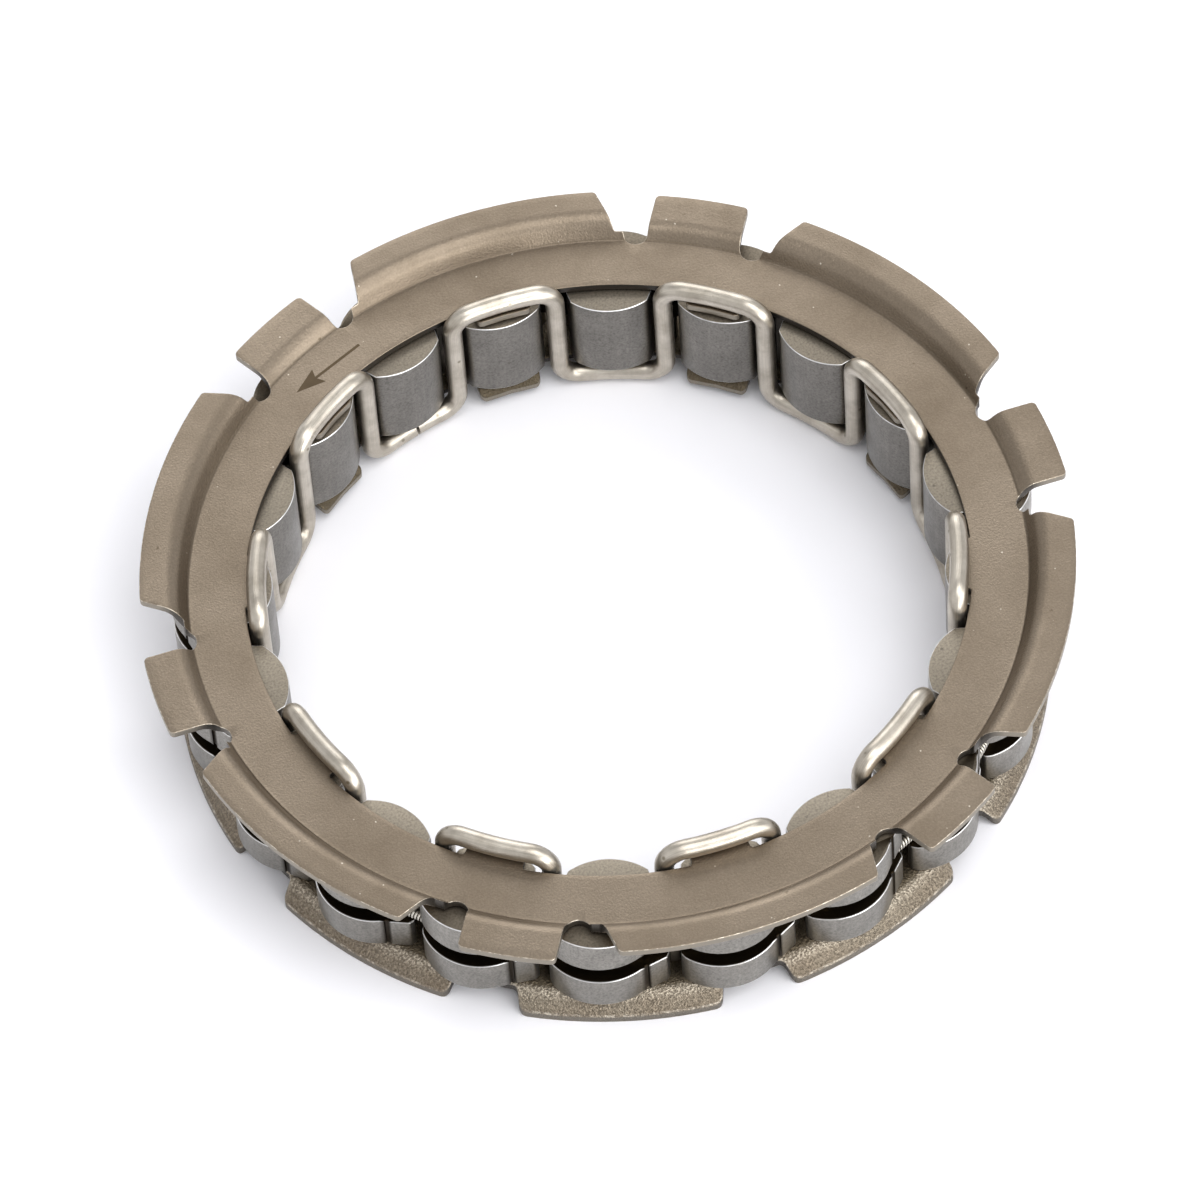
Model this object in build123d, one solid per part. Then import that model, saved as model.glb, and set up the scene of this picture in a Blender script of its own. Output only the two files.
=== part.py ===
from build123d import *
from math import asin, atan, atan2, cos, degrees, dist, hypot, radians, sin, sqrt, tan
import os

# One-way sprag clutch that lies flat, with +Z along the shaft and z = 0 at the underside of the
# lower plate's lobes. +Y runs through the middle of one wide lobe of the upper plate. Millimetres.

# Races that the clutch works between, and how far its free sprags stand past them
shaft_radius = 28.9
race_gap = 8.85
inner_bite = 0.1
outer_bite = 0.05

# Sprags
sprag_count = 20
sprag_length = 8.6
inner_cam_radius = 5.5
strut_offset = 0.8
neighbour_gap = 0.85
head_shift = 0.17
foot_flare = 0.4
foot_height = 1.1
head_height = 1.6
tail_drop = 1.25
sprag_corner = 0.45
waist_corner = 1.2

# Slot in the outer heads, and the garter spring that lies in it just outside the sprags' waists
spring_coil_diameter = 1.2
spring_waist_offset = 1.65
slot_side_clearance = 0.33
slot_floor_clearance = 0.4
slot_floor_curve = 9.0

# Line groove along each sprag's tail
groove_width = 0.5
groove_depth = 0.25
groove_offset = 3.05

# Sheet of the two plates, and the clearances above and below the sprags
sheet = 0.7
upper_end_clearance = 0.2
lower_end_clearance = 0.1

# Ring of both plates, measured outwards from the shaft
plate_shaft_gap = 2.2

# Upper plate: six wide lobes and six narrow tabs on one rim. Reaches are measured from the crease.
upper_lobe_count = 6
upper_ring_width = 4.9
upper_crease_bend = 0.25
upper_rim_bend = 1.0
upper_rim_reach = 0.45
wide_reach = 4.0
wide_tip_half_angle = 16.4
wide_root_half_angle = 19.2
wide_rise = 1.9
wide_slope = 60.0
tab_reach = 4.36
tab_width = 8.3
tab_rise = 1.0
tab_slope = 45.0
relief_radius = 1.1
relief_reach = 0.7
upper_corner = 0.45

# Arrow etched into the upper plate's ring, which shows the way the shaft runs free
arrow_inset = 2.2
arrow_drift = 0.5
arrow_tail_angle = 112.8
arrow_tip_angle = 125.4
arrow_line_width = 0.22
arrow_head_width = 1.5
arrow_head_length = 2.3
arrow_depth = 0.05

# Lower plate: ten equal lobes, pressed down on one broad bend. Reaches are measured from the crease.
lower_lobe_count = 10
lower_ring_width = 4.1
lower_crease_bend = 1.4
lower_rim_bend = 0.5
lower_rim_reach = 1.1
lower_reach = 2.65
lower_tip_half_angle = 13.05
lower_root_half_angle = 14.5
lower_lobe_turn = 1.0
lower_rise = 1.85
lower_slope = 50.0
lower_corner = 0.8
lower_root_corner = 0.6

# Tongues on the inner edges of both plates, which curl away from every other sprag
tongue_shaft_clearance = 0.4
upper_tongue_width = 5.2
lower_tongue_width = 5.9
upper_tongue_rise = 0.2
lower_tongue_rise = 1.0
tongue_root = 0.2
tongue_corner = 0.5

# Bars between the sprags that join the two plates, and their tenons
bar_width = 1.0
bar_depth = 1.2
bar_gap = 1.85
tenon_depth = 0.8
tenon_clearance = 0.03

# Retainer wire that weaves over one sprag and under the next
wire_diameter = 1.7
wire_bend_radius = 1.8
wire_plate_clearance = 0.13
wire_sprag_clearance = 0.5
wire_top_clearance = 0.1
wire_floor_clearance = 0.3
wire_butt_gap = 0.3

# Heights, from the floor up
lower_ring_bottom = lower_rise
lower_ring_top = lower_ring_bottom + sheet
sprag_bottom = lower_ring_top + lower_end_clearance
sprag_top = sprag_bottom + sprag_length
upper_ring_bottom = sprag_top + upper_end_clearance
upper_ring_top = upper_ring_bottom + sheet
slot_middle = (sprag_bottom + sprag_top) / 2

# Angles round the ring, in degrees
pitch_angle = 360 / sprag_count
first_angle = 90.0

# Radii of the sprags and their spring
housing_radius = shaft_radius + race_gap
tip_in = shaft_radius - inner_bite
tip_out = housing_radius + outer_bite
waist_radius = (tip_in + tip_out) / 2
spring_ring_radius = waist_radius + spring_waist_offset

# Radii of the plates
plate_inner_radius = shaft_radius + plate_shaft_gap
upper_crease_radius = plate_inner_radius + upper_ring_width
lower_crease_radius = plate_inner_radius + lower_ring_width
lower_rim_radius = lower_crease_radius + lower_rim_reach
beyond_tips = 2 * housing_radius

# The wire's legs stand midway between sprags, just inside the plates' inner edge
wire_leg_radius = plate_inner_radius - wire_plate_clearance - wire_diameter / 2
wire_run_radius = sqrt(wire_leg_radius**2 - wire_bend_radius**2)
run_half_angle = pitch_angle / 2 - degrees(atan(wire_bend_radius / wire_run_radius))

# Tongues end just outside the shaft
tongue_inner_radius = shaft_radius + tongue_shaft_clearance
tongue_reach = plate_inner_radius + tongue_root - tongue_inner_radius


def polar(radius, angle):
    """Point at a radius and an angle in degrees."""
    return (radius * cos(radians(angle)), radius * sin(radians(angle)))


def around(shape, count, start):
    """Copies of a shape on the +X axis, spaced evenly round the ring."""
    return [Rot(0, 0, start + 360 * step / count) * shape for step in range(count)]


def sprag_profile():
    """Plan of a sprag on the +X axis, where x is the radius and y runs counter-clockwise.

    Both cams are arcs. The outer one is centred a little to one side of the inner one, and the head
    is blunt on its leading side and swept down to a thin tail on the other.
    """
    half_pitch = radians(pitch_angle / 2)
    foot_half = wire_leg_radius * sin(half_pitch) - wire_diameter / 2 - wire_sprag_clearance
    waist_half = waist_radius * tan(half_pitch) - bar_width / 2 - bar_gap
    head_radius = waist_radius + head_height
    head_half = head_radius * tan(half_pitch) - neighbour_gap / 2
    lead = head_half + head_shift
    tail = head_half - head_shift
    outer_centre_x = sqrt((tip_out - lead) ** 2 - strut_offset**2)

    def inner_cam(angle):
        y = inner_cam_radius * sin(radians(angle))
        return (tip_in + inner_cam_radius * (1 - cos(radians(angle))), y)

    def outer_cam(angle):
        y = lead * sin(radians(angle)) - strut_offset
        return (outer_centre_x + lead * cos(radians(angle)), y)

    foot_angle = degrees(asin(foot_half / inner_cam_radius))
    foot_x = inner_cam(foot_angle)[0] + foot_height
    foot_side = foot_half + foot_flare
    inner_arc = ThreePointArc(inner_cam(-foot_angle), inner_cam(0), inner_cam(foot_angle))
    outer_arc = ThreePointArc(outer_cam(39), outer_cam(0), outer_cam(-53))
    tail_flank = FilletPolyline(
        inner_cam(foot_angle),
        (foot_x, foot_side),
        (waist_radius, waist_half),
        (head_radius - 0.4, tail - 0.4),
        (head_radius - 0.1, tail),
        (outer_cam(39)[0] - tail_drop, tail - 0.2),
        outer_cam(39),
        radius=[sprag_corner, waist_corner, 0.3, 0.2, sprag_corner],
    )
    lead_flank = FilletPolyline(
        outer_cam(-53),
        (head_radius + 0.2, -lead),
        (head_radius - 0.35, 0.35 - lead),
        (waist_radius, -waist_half),
        (foot_x, -foot_side),
        inner_cam(-foot_angle),
        radius=[sprag_corner, 0.3, waist_corner, sprag_corner],
    )
    return make_face([inner_arc, tail_flank, outer_arc, lead_flank]), tail_flank


def sprag():
    """One sprag on the +X axis, with its spring slot and the line groove on its tail."""
    profile, tail_flank = sprag_profile()
    body = Pos(0, 0, sprag_bottom) * extrude(profile, sprag_length)

    floor_radius = spring_ring_radius - spring_coil_diameter / 2 - slot_floor_clearance
    slot_height = spring_coil_diameter + 2 * slot_side_clearance
    slot_reach = 2 * slot_floor_curve
    slot = Pos(slot_reach / 2, 0) * Rectangle(slot_reach, slot_reach) - Circle(slot_floor_curve)
    slot = Pos(floor_radius - slot_floor_curve, -strut_offset) * slot
    body -= Pos(0, 0, slot_middle - slot_height / 2) * extrude(slot, slot_height)

    swept_edge = tail_flank.edges().sort_by(Axis.X)[-1]
    share = (swept_edge @ 0).Y - groove_offset
    share /= (swept_edge @ 0).Y - (swept_edge @ 1).Y
    groove = Rectangle(groove_width, 2 * groove_depth)
    tangent = swept_edge % share
    groove = Rot(0, 0, degrees(atan(tangent.Y / tangent.X))) * groove
    spot = swept_edge @ share
    body -= Pos(spot.X, spot.Y, sprag_bottom) * extrude(groove, sprag_length)
    return body


def joggle_section(crease, rise, slope, crease_bend, rim_bend):
    """Section of a sheet in the XZ plane: a flat ring, an S-bend and a raised flat rim."""
    shift = sheet * tan(radians(slope / 2))
    run = rise / tan(radians(slope))
    lower = FilletPolyline(
        (plate_inner_radius, 0),
        (crease + shift, 0),
        (crease + shift + run, rise),
        (beyond_tips, rise),
        radius=[crease_bend + sheet, rim_bend],
    )
    upper = FilletPolyline(
        (plate_inner_radius, sheet),
        (crease, sheet),
        (crease + run, rise + sheet),
        (beyond_tips, rise + sheet),
        radius=[crease_bend, rim_bend + sheet],
    )
    return make_face([lower, Line(lower @ 1, upper @ 1), upper, Line(upper @ 0, lower @ 0)])


def tongue_section(rise):
    """Section of a tongue in the XZ plane, which leaves the flat ring on one arc towards the bore."""
    root = plate_inner_radius + tongue_root
    end = tongue_inner_radius - tongue_root
    curl = (tongue_reach**2 + rise**2) / (2 * rise)

    def curled(radius, x):
        return (x, sheet + curl - sqrt(radius**2 - (root - x) ** 2))

    def arc(radius):
        return ThreePointArc(curled(radius, root), curled(radius, (root + end) / 2), curled(radius, end))

    top = arc(curl)
    bottom = arc(curl + sheet)
    ring = Polyline(top @ 0, (root + tongue_root, sheet), (root + tongue_root, 0), bottom @ 0)
    return make_face([top, Line(top @ 1, bottom @ 1), bottom, ring])


def turned(section):
    """Full turn of an XZ section about the shaft's axis."""
    return revolve(Plane.XZ * section, Axis.Z)


def lobe_outline(root_radius, tip_radius, root_half_angle, tip_half_angle, corner):
    """Plan of one lobe on the +X axis: slanted sides, an arc for its tip and rounded corners."""
    tip = ThreePointArc(polar(tip_radius, -tip_half_angle), (tip_radius, 0), polar(tip_radius, tip_half_angle))
    sides = Polyline(tip @ 1, polar(root_radius, root_half_angle), polar(root_radius, -root_half_angle), tip @ 0)
    face = make_face([tip, sides])
    return fillet(face.vertices().sort_by(Axis.X)[-2:], corner)


def tab_outline(root, tip_radius, width, corner):
    """Plan of one parallel-sided tab on the +X axis, with an arc for its tip."""
    half = width / 2
    shoulder = sqrt(tip_radius**2 - half**2)
    tip = ThreePointArc((shoulder, -half), (tip_radius, 0), (shoulder, half))
    face = make_face([tip, Polyline(tip @ 1, (root, half), (root, -half), tip @ 0)])
    return fillet(face.vertices().sort_by(Axis.X)[-2:], corner)


def sheet_piece(section, plan):
    """The part of a turned sheet section that lies inside a plan."""
    return turned(section) & Pos(0, 0, -tip_out) * extrude(plan, 2 * tip_out)


def tongues(rise, width):
    """Tongues on the inner edge, one at every other sprag, for a plate with its ring at z = 0."""
    outer = plate_inner_radius + tongue_root
    plan = Pos((tongue_inner_radius + outer) / 2, 0) * Rectangle(outer - tongue_inner_radius, width)
    plan = fillet(plan.vertices().sort_by(Axis.X)[:2], tongue_corner)
    piece = sheet_piece(tongue_section(rise), plan)
    return around(piece, sprag_count // 2, first_angle)


def arrow_mark():
    """Plan of the arrow: a thin straight shaft and a solid head that drifts a little outwards."""
    tail = polar(plate_inner_radius + arrow_inset, arrow_tail_angle)
    tip = polar(plate_inner_radius + arrow_inset + arrow_drift, arrow_tip_angle)
    neck = dist(tail, tip) - arrow_head_length
    shaft = Pos(neck / 2, 0) * Rectangle(neck, arrow_line_width)
    head = Polyline(
        (neck, -arrow_head_width / 2),
        (dist(tail, tip), 0),
        (neck, arrow_head_width / 2),
        (neck, -arrow_head_width / 2),
    )
    heading = degrees(atan2(tip[1] - tail[1], tip[0] - tail[0]))
    return Pos(*tail) * Rot(0, 0, heading) * (shaft + make_face(head))


def upper_plate_blank():
    """Upper plate with its flat ring at z = 0, before the bars are added."""
    tab_start = first_angle + 180 / upper_lobe_count
    relief_y = tab_width / 2 + relief_radius
    relief_x = sqrt((upper_crease_radius + relief_reach) ** 2 - relief_y**2)
    root = relief_x - relief_radius
    reliefs = [Pos(relief_x, side * relief_y) * Circle(relief_radius) for side in (-1, 1)]
    tab_base = Pos((root + relief_x) / 2, 0) * Rectangle(relief_radius, 2 * relief_y)
    tab = tab_outline(root, upper_crease_radius + tab_reach, tab_width, upper_corner) + tab_base
    lobe = lobe_outline(
        upper_crease_radius,
        upper_crease_radius + wide_reach,
        wide_root_half_angle,
        wide_tip_half_angle,
        upper_corner,
    )

    wide_plan = Circle(upper_crease_radius + upper_rim_reach)
    wide_plan += around(lobe, upper_lobe_count, first_angle)
    wide_plan -= around(tab + reliefs, upper_lobe_count, tab_start)
    wide = joggle_section(
        upper_crease_radius, wide_rise, wide_slope, upper_crease_bend, upper_rim_bend
    )
    narrow = joggle_section(
        upper_crease_radius, tab_rise, tab_slope, upper_crease_bend, upper_rim_bend
    )
    tab_piece = sheet_piece(narrow, tab - reliefs)

    plate = sheet_piece(wide, wide_plan) + around(tab_piece, upper_lobe_count, tab_start)
    plate += tongues(upper_tongue_rise, upper_tongue_width)
    return plate - Pos(0, 0, sheet - arrow_depth) * extrude(arrow_mark(), sheet)


def lower_plate_blank():
    """Lower plate with its flat ring at z = 0 and the same way up as the upper one."""
    lobe = lobe_outline(
        lower_crease_radius,
        lower_crease_radius + lower_reach,
        lower_root_half_angle,
        lower_tip_half_angle,
        lower_corner,
    )
    start = first_angle + pitch_angle + lower_lobe_turn
    plan = Circle(lower_rim_radius) + around(lobe, lower_lobe_count, start)
    roots = [spot for spot in plan.vertices() if abs(hypot(spot.X, spot.Y) - lower_rim_radius) < 0.01]
    plan = fillet(roots, lower_root_corner)
    section = joggle_section(
        lower_crease_radius, lower_rise, lower_slope, lower_crease_bend, lower_rim_bend
    )
    return sheet_piece(section, plan) + tongues(lower_tongue_rise, lower_tongue_width)


def bars(bottom, length, depth, width):
    """One upright bar in each space between two sprags, at the sprags' waists."""
    bar = Pos(waist_radius, 0, bottom + length / 2) * Box(depth, width, length)
    return around(bar, sprag_count, first_angle + pitch_angle / 2)


def upper_cage_plate():
    """Upper plate with its bars, and a tenon on the end of each bar."""
    plate = Pos(0, 0, upper_ring_bottom) * upper_plate_blank()
    plate += bars(lower_ring_top, upper_ring_bottom - lower_ring_top, bar_depth, bar_width)
    return plate + bars(lower_ring_bottom, sheet, tenon_depth, bar_width)


def lower_cage_plate():
    """Lower plate, turned over so that its lobes reach down to z = 0, with a slot for each tenon."""
    plate = Pos(0, 0, lower_ring_top) * mirror(lower_plate_blank(), Plane.XY)
    slot_depth = tenon_depth + 2 * tenon_clearance
    return plate - bars(lower_ring_bottom, sheet, slot_depth, bar_width + 2 * tenon_clearance)


def wire_heights():
    """Heights of the wire's centre line in the runs over and under the sprags."""
    curl = (tongue_reach**2 + upper_tongue_rise**2) / (2 * upper_tongue_rise)
    lift = curl - sqrt(curl**2 - (plate_inner_radius + tongue_root - wire_run_radius) ** 2)
    over = upper_ring_top + lift + wire_top_clearance + wire_diameter / 2
    under = wire_floor_clearance + wire_diameter / 2
    return over, under


def wire_path():
    """Centre line of the wire: arcs over and under the sprags, joined by bends and upright legs.

    It starts and ends in the middle of one run, with a small gap between its butted ends.
    """
    over, under = wire_heights()
    butt_angle = degrees(wire_butt_gap / 2 / wire_run_radius)

    def crossing(step):
        """Angle of a sprag, the height of the wire there and the way in which its legs go."""
        middle = first_angle + pitch_angle * (step + 1)
        return (middle, over, -1) if step % 2 else (middle, under, 1)

    def leg(step):
        spot = polar(wire_leg_radius, crossing(step)[0] + pitch_angle / 2)
        low = under + wire_bend_radius
        high = over - wire_bend_radius
        return Line((*spot, high), (*spot, low)) if step % 2 else Line((*spot, low), (*spot, high))

    edges = []
    for step in range(sprag_count):
        middle, height, inward = crossing(step)
        start = middle + butt_angle
        if step > 0:
            start = middle - run_half_angle
            edges.append(bend(start, -1, height, inward))
        edges.append(run_arc(start, middle + run_half_angle, height))
        edges.append(bend(middle + run_half_angle, 1, height, inward))
        edges.append(leg(step))
    middle, height, inward = crossing(0)
    edges.append(bend(middle - run_half_angle, -1, height, inward))
    edges.append(run_arc(middle - run_half_angle, middle - butt_angle, height))
    return Wire(edges)


def run_arc(start, end, height):
    """Level run of the wire, concentric with the shaft."""
    middle = (start + end) / 2
    return ThreePointArc(
        (*polar(wire_run_radius, start), height),
        (*polar(wire_run_radius, middle), height),
        (*polar(wire_run_radius, end), height),
    )


def bend(angle, direction, height, inward):
    """Quarter bend from a run's end at an angle into the upright leg beside it."""
    x, y = polar(wire_run_radius, angle)
    along = (-direction * sin(radians(angle)), direction * cos(radians(angle)))
    quarter = wire_bend_radius * sin(radians(45))
    rest = wire_bend_radius - quarter
    run_end = (x, y, height)
    middle = (x + quarter * along[0], y + quarter * along[1], height + inward * rest)
    leg_end = (
        x + wire_bend_radius * along[0],
        y + wire_bend_radius * along[1],
        height + inward * wire_bend_radius,
    )
    if direction > 0:
        return ThreePointArc(run_end, middle, leg_end)
    return ThreePointArc(leg_end, middle, run_end)


def retainer_wire():
    """Round wire swept along its path, with a small butt gap under one sprag."""
    path = wire_path()
    profile = Plane(origin=path @ 0, z_dir=path % 0) * Circle(wire_diameter / 2)
    return sweep(profile, path=path)


def garter_spring():
    """Outer shape of the closed coil spring that lies in the sprags' slots."""
    return Pos(0, 0, slot_middle) * Torus(spring_ring_radius, spring_coil_diameter / 2)


def main():
    os.makedirs("parts", exist_ok=True)
    export_step(upper_cage_plate(), "parts/upper_cage_plate.step")
    export_step(lower_cage_plate(), "parts/lower_cage_plate.step")
    export_step(retainer_wire(), "parts/retainer_wire.step")
    export_step(garter_spring(), "parts/garter_spring.step")
    one_sprag = sprag()
    for step, copy in enumerate(around(one_sprag, sprag_count, first_angle)):
        export_step(copy, f"parts/sprag_{step + 1:02d}.step")
    print("sprag pivots stand at radius", round(waist_radius, 3))
    print("total height", round(upper_ring_top + wide_rise, 3))


main()
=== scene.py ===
"""Sprag clutch insert: surfaces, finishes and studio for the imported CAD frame."""

import math

import bpy
import bmesh
import numpy as np
from mathutils import Matrix, Vector


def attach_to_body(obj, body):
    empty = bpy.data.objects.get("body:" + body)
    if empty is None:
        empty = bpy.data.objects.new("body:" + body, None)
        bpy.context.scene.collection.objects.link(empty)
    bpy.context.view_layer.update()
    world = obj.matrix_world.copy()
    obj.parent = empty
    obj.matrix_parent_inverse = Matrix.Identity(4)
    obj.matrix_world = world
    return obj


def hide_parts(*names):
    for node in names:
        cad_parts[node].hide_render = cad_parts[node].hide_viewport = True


bl_info = {
    "name": "Sprag Clutch",
    "version": (1, 0, 0),
    "blender": (4, 5, 0),
    "location": "View3D > Sidebar > Sprag Clutch",
    "description": "Builds the plates, sprags, wire and spring of a one-way sprag clutch",
    "category": "Object",
}

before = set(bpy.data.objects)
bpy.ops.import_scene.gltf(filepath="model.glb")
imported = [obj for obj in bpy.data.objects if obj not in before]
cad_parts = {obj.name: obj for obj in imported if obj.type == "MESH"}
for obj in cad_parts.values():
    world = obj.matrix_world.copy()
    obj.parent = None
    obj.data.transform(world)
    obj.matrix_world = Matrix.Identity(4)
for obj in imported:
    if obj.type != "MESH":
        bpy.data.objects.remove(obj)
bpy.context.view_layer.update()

SPRAG_COUNT = 20
PITCH = 360 / SPRAG_COUNT
FIRST_ANGLE = 90.0
WIDE_LOBES = 6
LOWER_LOBES = 10
TONGUES = 10


def length(name, description, default):
    """A length property, given in millimetres and stored in metres."""
    return bpy.props.FloatProperty(
        name=name,
        description=description,
        default=default / 1000,
        unit="LENGTH",
        subtype="DISTANCE",
        precision=6,
    )


def turn(name, description, default):
    """An angle property, given in degrees and stored in radians."""
    return bpy.props.FloatProperty(
        name=name, description=description, default=math.radians(default), unit="ROTATION", subtype="ANGLE"
    )


def linear(hex_colour):
    """Linear RGBA of an sRGB hex colour."""
    value = np.array([int(hex_colour[i : i + 2], 16) for i in (1, 3, 5)]) / 255
    value = np.where(value <= 0.04045, value / 12.92, ((value + 0.055) / 1.055) ** 2.4)
    return (*value.tolist(), 1.0)


def colour(name, description, default):
    """A colour property, given as an sRGB hex value."""
    return bpy.props.FloatVectorProperty(
        name=name, description=description, default=linear(default), size=4, subtype="COLOR", min=0, max=1
    )


class ClutchSizes(bpy.types.PropertyGroup):
    """Sizes of the clutch's pieces."""

    sheet: length("Sheet", "Thickness of both cage plates", 0.7)
    edge: length("Edge rounding", "Rounding that tumbling leaves on a sheared edge", 0.07)
    ring_inner: length("Ring inner radius", "Inner edge of both plates", 31.1)
    upper_z: length("Upper ring height", "Underside of the upper plate's flat ring", 11.45)
    upper_crease: length("Upper crease radius", "Where the upper plate's rim starts to rise", 36.0)
    upper_rim: length("Upper rim radius", "Edge of the upper plate between its lobes", 36.45)
    wide_tip: length("Wide lobe radius", "Tips of the upper plate's wide lobes", 40.0)
    wide_half: turn("Wide lobe half angle", "Half the span of a wide lobe's tip", 16.4)
    wide_root: turn("Wide lobe root angle", "Half the span of a wide lobe at the rim", 18.85)
    wide_rise: length("Wide lobe rise", "How far a wide lobe stands above the ring", 1.9)
    tab_tip: length("Tab radius", "Tips of the narrow tabs", 40.36)
    tab_width: length("Tab width", "Width of the narrow tabs", 8.3)
    tab_rise: length("Tab rise", "How far a tab stands above the ring", 1.0)
    relief: length("Relief radius", "Round notch at each side of a tab", 1.1)
    relief_reach: length("Relief reach", "Distance from the shaft's axis to the notches' middles", 36.7)
    wide_slope: turn("Wide lobe slope", "Steepness of the wide lobes' joggle", 60)
    tab_slope: turn("Tab slope", "Steepness of the tabs' joggle", 45)
    crease_bend: length("Crease bend", "Inside bend radius where the upper rim starts to rise", 0.25)
    rim_bend: length("Rim bend", "Inside bend radius where the upper rim levels out", 1.0)
    upper_curl: length("Upper tongue rise", "How far the upper plate's tongues curl up", 0.2)
    upper_corner: length("Upper corner radius", "Rounded corners of the wide lobes and tabs", 0.45)
    lower_z: length("Lower ring height", "Underside of the lower plate's flat ring", 1.85)
    lower_crease: length("Lower crease radius", "Where the lower plate's rim rolls down", 35.85)
    lower_rim: length("Lower rim radius", "Edge of the lower plate between its lobes", 36.3)
    lower_tip: length("Lower lobe radius", "Tips of the lower plate's lobes", 37.85)
    lower_half: turn("Lower lobe half angle", "Half the span of a lower lobe's tip", 13.05)
    lower_root: turn("Lower lobe root angle", "Half the span of a lower lobe at the rim", 13.85)
    lower_slope: turn("Lower slope", "Steepness of the lower plate's rim", 45)
    roll_bend: length("Roll bend", "Inside bend radius where the lower rim starts to roll down", 1.2)
    foot_bend: length("Foot bend", "Inside bend radius at the lower rim's foot", 0.5)
    lower_curl: length("Lower tongue drop", "How far the lower plate's tongues curl down", 1.0)
    tongue_tip: length("Tongue radius", "Inner ends of the plates' tongues", 29.3)
    upper_tongue: length("Upper tongue width", "Width of the upper plate's tongues", 5.2)
    lower_tongue: length("Lower tongue width", "Width of the lower plate's tongues", 5.9)
    sprag_in: length("Sprag inner radius", "Circle inside the sprags' inner cams", 28.8)
    sprag_out: length("Sprag outer radius", "Circle round the sprags' outer cams", 37.8)
    sprag_bottom: length("Sprag underside", "Height of the sprags' lower end faces", 2.65)
    sprag_length: length("Sprag length", "Length of a sprag along the shaft", 8.6)
    inner_cam: length("Inner cam radius", "Radius of the sprags' inner cam faces", 5.5)
    outer_cam: length("Outer cam radius", "Radius of the sprags' outer cam faces", 5.273)
    cam_offset: length("Cam offset", "Sideways distance from the inner cam's centre to the outer one's", 0.8)
    foot_half: length("Foot half width", "Half the width of a sprag's inner cam face", 3.362)
    waist_half: length("Waist half width", "Half the width of a sprag's waist", 2.924)
    tail: length("Tail side", "Distance from a sprag's middle plane to the end of its tail", 4.933)
    groove_side: length("Line groove side", "Distance from a sprag's middle plane to its line groove", 3.05)
    sprag_edge: length("Sprag edge", "Rounding of a sprag's edges", 0.09)
    slot_lip: length("Slot lip", "Rounding of the spring slot's lips", 0.08)
    slot_height: length("Slot height", "Height of the spring slot", 1.86)
    wire: length("Wire diameter", "Diameter of the retainer wire", 1.7)
    wire_gap: length("Wire gap", "Gap from the wire's legs to the plates' inner edge", 0.13)
    wire_bend: length("Wire bend radius", "Bends between the wire's runs and legs", 1.8)
    wire_butt: length("Wire butt", "Half the gap between the wire's two ends", 0.15)
    wire_dome: length("Wire dome", "How far the wire's ends bulge", 0.08)
    wire_top: length("Wire top height", "Centre of the wire's runs over the sprags", 13.176)
    wire_low: length("Wire low height", "Centre of the wire's runs under the sprags", 1.15)
    spring_radius: length("Spring ring radius", "Middle of the garter spring", 34.95)
    spring_coil: length("Spring coil diameter", "Outside of the garter spring's coil", 1.2)
    spring_wire: length("Spring wire diameter", "Wire that the garter spring is wound from", 0.23)
    spring_pitch: length("Spring pitch", "Distance from coil to coil", 0.29)


class ClutchColours(bpy.types.PropertyGroup):
    """Colours of the clutch's finishes and of the studio."""

    upper_plate: colour("Upper plate", "Tempered strip of the upper plate", "#877b6c")
    lower_plate: colour("Lower plate", "Duller strip of the lower plate", "#81786a")
    plate_dark: colour("Plate shade", "Darker film left in the plates' grain", "#786c5d")
    sheared: colour("Sheared edge", "Cut edges of the plates", "#8d867a")
    # Dark scale on the bore's cut edges, also used as painted shade there, on the relief notches' walls and
    # on the bars.
    dark_scale_and_shade: colour("Bore edge", "Scaled edge round the plates' bore", "#474441")
    # The inner cams' darker grey is painted shade inside the ring.
    inner_cam: colour("Inner cam", "Hardened cam faces towards the shaft", "#7c7974")
    outer_cam: colour("Outer cam", "Hardened cam faces towards the housing", "#8f8c86")
    # Near white for burnished edges: partly wear, partly a painted highlight.
    burnished: colour("Burnished edge", "Edges that the barrel has polished bright", "#fbfbfb")
    sprag_end: colour("Sprag end", "Tumbled end faces", "#898174")
    # The slot colour is near black painted shade for the spring slot and the line groove.
    slot: colour("Slot", "Oxide left in the spring slot", "#2a2319")
    wire: colour("Wire", "Drawn retainer wire", "#c6bfb3")
    spring: colour("Spring", "Wound spring wire", "#a9a49a")
    etch: colour("Etch", "Dark of the etched arrow", "#46381f")
    floor: colour("Floor", "Studio floor", "#f7f7fb")


def mm(name):
    """A stored size in millimetres."""
    return getattr(bpy.context.scene.clutch_sizes, name) * 1000


def degrees(name):
    """A stored angle in degrees."""
    return math.degrees(getattr(bpy.context.scene.clutch_sizes, name))


def finish_colour(name):
    """A stored linear colour."""
    return tuple(getattr(bpy.context.scene.clutch_colours, name))


# Surfaces

def polar(radius, angle):
    """Points of the plane at a radius and an angle in degrees."""
    angle = np.radians(angle)
    return np.stack([radius * np.cos(angle), radius * np.sin(angle)], axis=-1)


def unit(vectors):
    """Vectors scaled to length 1."""
    return vectors / np.linalg.norm(vectors, axis=-1, keepdims=True)


def outline_normals(outline, way):
    """Unit normals of a closed outline, to the right of its direction for 1 and to the left for -1."""
    tangent = np.roll(outline, -1, axis=0) - np.roll(outline, 1, axis=0)
    return unit(way * np.stack([tangent[:, 1], -tangent[:, 0]], axis=-1))


def arc(radius, start, end, step):
    """Points along an arc about the origin, about step degrees apart, both ends included."""
    count = max(2, int(round(abs(end - start) / step)) + 1)
    return polar(radius, np.linspace(start, end, count))


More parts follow.
